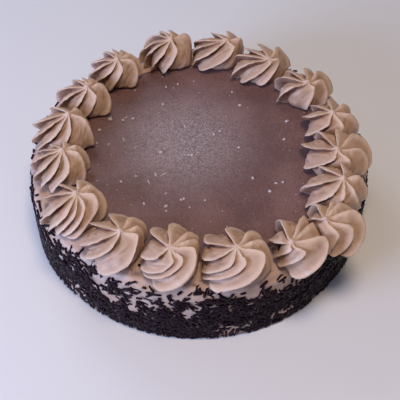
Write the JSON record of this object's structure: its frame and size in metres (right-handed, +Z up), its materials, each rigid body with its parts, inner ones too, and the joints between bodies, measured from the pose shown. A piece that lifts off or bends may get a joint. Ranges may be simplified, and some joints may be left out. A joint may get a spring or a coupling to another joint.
{
  "type": "layer cake",
  "caption": "Uncut round iced cake with a glazed top, a piped rosette border and chocolate vermicelli on its side; rests on its flat base.",
  "frame": {"origin": "middle of the cake's flat underside", "axes": "+Z up; the cake is shown with its front at -Y"},
  "size_m": [0.2116, 0.2126, 0.0654],
  "materials": {
    "buttercream_coat": "soft satin mocha buttercream, spread by hand",
    "piped_buttercream": "soft satin mocha buttercream, piped",
    "chocolate_glaze": "thin dull chocolate glaze with a frosty bloom",
    "vermicelli": "glossy dark chocolate strands",
    "crumbs": "small pale icing crumbs"
  },
  "bodies": {
    "root": {"cake_body": "buttercream_coat", "top_glaze": "chocolate_glaze", "rosette_01": "piped_buttercream", "rosette_02": "piped_buttercream", "rosette_03": "piped_buttercream", "rosette_04": "piped_buttercream", "rosette_05": "piped_buttercream", "rosette_06": "piped_buttercream", "rosette_07": "piped_buttercream", "rosette_08": "piped_buttercream", "rosette_09": "piped_buttercream", "rosette_10": "piped_buttercream", "rosette_11": "piped_buttercream", "rosette_12": "piped_buttercream", "rosette_13": "piped_buttercream", "rosette_14": "piped_buttercream", "rosette_15": "piped_buttercream", "rosette_16": "piped_buttercream", "rosette_17": "piped_buttercream"}
  },
  "joints": []
}
